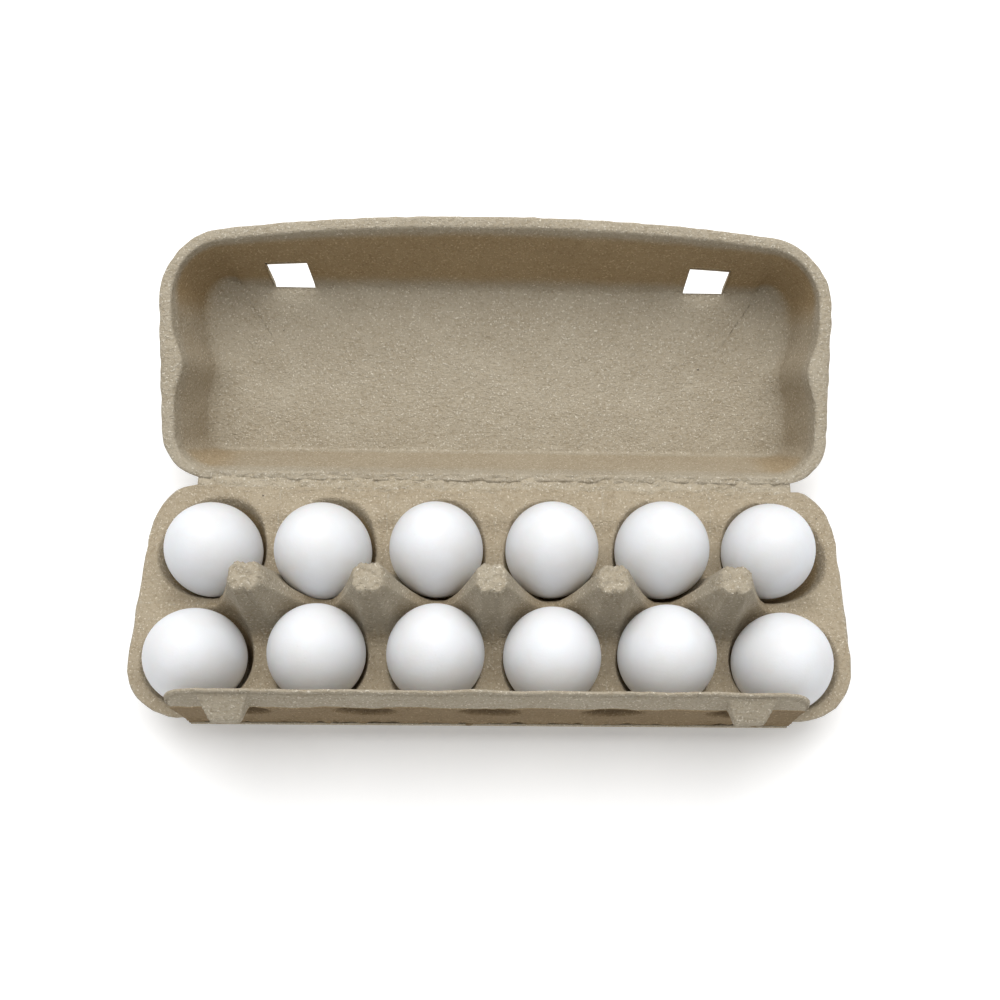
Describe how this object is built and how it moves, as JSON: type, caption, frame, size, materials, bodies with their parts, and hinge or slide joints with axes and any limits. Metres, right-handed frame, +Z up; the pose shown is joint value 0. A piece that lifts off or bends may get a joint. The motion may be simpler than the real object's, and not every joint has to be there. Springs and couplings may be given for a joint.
{
  "type": "egg carton",
  "caption": "Moulded-pulp egg carton, lid open: two-row tray with posts, living-hinge lid with lock slots, front lock flap with two wedge bosses, white eggs in the cups.",
  "frame": {"origin": "middle of the footprint with the lid laid open behind, on the surface the carton stands on", "axes": "+Z up, +X along the carton to the right, +Y to the back where the open lid lies"},
  "size_m": [0.3032, 0.217, 0.0874],
  "materials": {
    "pulp": "matt fibrous moulded paper pulp, grey-beige with pale and dark flecks",
    "pulp_crease": "the same pulp, crumpled where it bends",
    "eggshell": "smooth matt white shell"
  },
  "bodies": {
    "tray": {"base_tray": "pulp", "lid_hinge_web": "pulp_crease"},
    "lid": {"lid": "pulp"},
    "band": {"front_hinge_band": "pulp_crease"},
    "flap": {"lock_flap": "pulp"},
    "egg_front_1": {"egg_front_1": "eggshell"},
    "egg_front_2": {"egg_front_2": "eggshell"},
    "egg_front_3": {"egg_front_3": "eggshell"},
    "egg_front_4": {"egg_front_4": "eggshell"},
    "egg_front_5": {"egg_front_5": "eggshell"},
    "egg_front_6": {"egg_front_6": "eggshell"},
    "egg_back_1": {"egg_back_1": "eggshell"},
    "egg_back_2": {"egg_back_2": "eggshell"},
    "egg_back_3": {"egg_back_3": "eggshell"},
    "egg_back_4": {"egg_back_4": "eggshell"},
    "egg_back_5": {"egg_back_5": "eggshell"},
    "egg_back_6": {"egg_back_6": "eggshell"}
  },
  "joints": [
    {"name": "lid_hinge", "type": "hinge", "parent": "tray", "child": "lid", "pos_m": [0, 0.00343, 0.031], "axis": [-1, 0, 0], "range_deg": [-151.5, 0]},
    {"name": "band_bend", "type": "hinge", "parent": "tray", "child": "band", "pos_m": [0, -0.10122, 0.031], "axis": [1, 0, 0], "range_deg": [-18.5, 0]},
    {"name": "flap_hinge", "type": "hinge", "parent": "band", "child": "flap", "pos_m": [0, -0.10317, 0.031], "axis": [1, 0, 0], "range_deg": [0, 88]},
    {"name": "egg_front_1_lift", "type": "slide", "parent": "tray", "child": "egg_front_1", "axis": [0, 0, 1], "range_m": [0, 0.065]},
    {"name": "egg_front_2_lift", "type": "slide", "parent": "tray", "child": "egg_front_2", "axis": [0, 0, 1], "range_m": [0, 0.065]},
    {"name": "egg_front_3_lift", "type": "slide", "parent": "tray", "child": "egg_front_3", "axis": [0, 0, 1], "range_m": [0, 0.065]},
    {"name": "egg_front_4_lift", "type": "slide", "parent": "tray", "child": "egg_front_4", "axis": [0, 0, 1], "range_m": [0, 0.065]},
    {"name": "egg_front_5_lift", "type": "slide", "parent": "tray", "child": "egg_front_5", "axis": [0, 0, 1], "range_m": [0, 0.065]},
    {"name": "egg_front_6_lift", "type": "slide", "parent": "tray", "child": "egg_front_6", "axis": [0, 0, 1], "range_m": [0, 0.065]},
    {"name": "egg_back_1_lift", "type": "slide", "parent": "tray", "child": "egg_back_1", "axis": [0, 0, 1], "range_m": [0, 0.065]},
    {"name": "egg_back_2_lift", "type": "slide", "parent": "tray", "child": "egg_back_2", "axis": [0, 0, 1], "range_m": [0, 0.065]},
    {"name": "egg_back_3_lift", "type": "slide", "parent": "tray", "child": "egg_back_3", "axis": [0, 0, 1], "range_m": [0, 0.065]},
    {"name": "egg_back_4_lift", "type": "slide", "parent": "tray", "child": "egg_back_4", "axis": [0, 0, 1], "range_m": [0, 0.065]},
    {"name": "egg_back_5_lift", "type": "slide", "parent": "tray", "child": "egg_back_5", "axis": [0, 0, 1], "range_m": [0, 0.065]},
    {"name": "egg_back_6_lift", "type": "slide", "parent": "tray", "child": "egg_back_6", "axis": [0, 0, 1], "range_m": [0, 0.065]}
  ],
  "couplings": [
    {"joint": "band_bend", "follows": "lid_hinge", "ratio": 0.12211}
  ]
}
